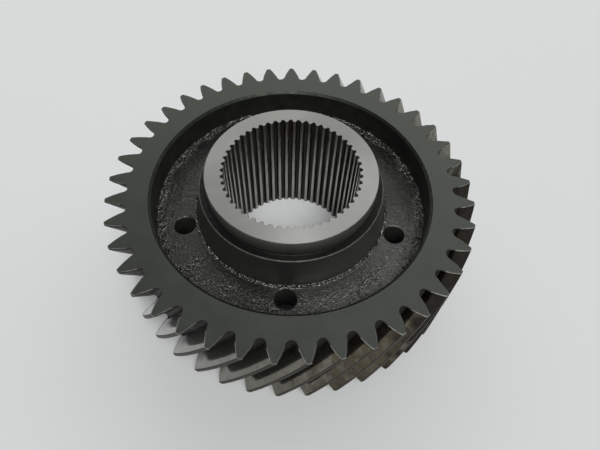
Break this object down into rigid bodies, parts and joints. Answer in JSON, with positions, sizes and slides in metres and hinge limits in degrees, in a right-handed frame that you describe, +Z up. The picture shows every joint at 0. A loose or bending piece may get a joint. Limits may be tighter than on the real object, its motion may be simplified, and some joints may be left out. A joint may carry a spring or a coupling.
{
  "type": "helical gear",
  "caption": "Right-hand helical gear with a recessed web, a circle of web holes and a raised hub with an internal spline.",
  "frame": {"origin": "centre of the bore in the plane of the hub's lower face, which the gear stands on", "axes": "+Z up along the bore axis, towards the bright ground hub face; -Y through the middle of one web hole"},
  "size_m": [0.224, 0.224, 0.082],
  "materials": {
    "ring_steel": "dark satin, machined faces, ground tooth flanks with thin bright worn edges",
    "web_steel": "black as-forged scale, rough and glinting, smoother on the boss",
    "hub_steel": "bright ground end faces, blackened outside, oily spline"
  },
  "bodies": {
    "root": {"toothed_ring": "ring_steel", "web_disc": "web_steel", "splined_hub": "hub_steel"}
  },
  "joints": []
}
